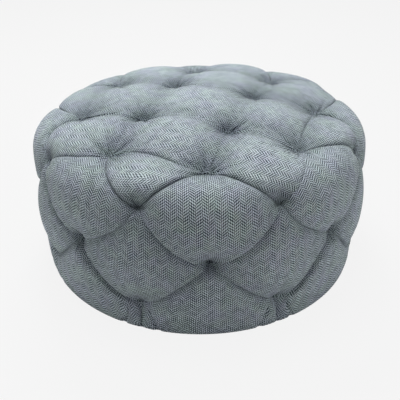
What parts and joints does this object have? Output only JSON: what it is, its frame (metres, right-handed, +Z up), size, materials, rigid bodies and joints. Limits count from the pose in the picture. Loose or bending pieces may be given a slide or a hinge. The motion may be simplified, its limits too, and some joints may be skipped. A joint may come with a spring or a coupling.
{
  "type": "tufted ottoman coffee table",
  "caption": "Round upholstered ottoman coffee table with a diamond-tufted fabric top and sides on a hidden drum frame.",
  "frame": {"origin": "on the floor, under the middle of the drum", "axes": "+Z up, front of the picture's view towards -Y, +X to the viewer's right"},
  "size_m": [0.8984, 0.8984, 0.45],
  "materials": {
    "cover_fabric": "herringbone tweed, blue-grey",
    "foam": "open-cell upholstery foam",
    "plywood": "raw sanded plywood",
    "softwood": "planed pine",
    "hardboard": "smooth hardboard",
    "twine": "waxed twine",
    "toggle_wood": "cut hardwood",
    "dust_cloth": "non-woven black cloth",
    "nylon": "moulded black nylon"
  },
  "bodies": {
    "root": {"cover_top": "cover_fabric", "cover_side": "cover_fabric", "foam_top": "foam", "foam_side": "foam", "top_deck": "plywood", "deck_rail_long": "softwood", "deck_rail_cross": "softwood", "uprights": "softwood", "upper_glue_blocks": "softwood", "lower_glue_blocks": "softwood", "base_ring": "plywood", "side_skin_left": "hardboard", "side_skin_right": "hardboard", "top_twines": "twine", "side_twines": "twine", "top_toggles": "toggle_wood", "side_toggles": "toggle_wood", "dust_cover": "dust_cloth", "glides": "nylon"}
  },
  "joints": []
}
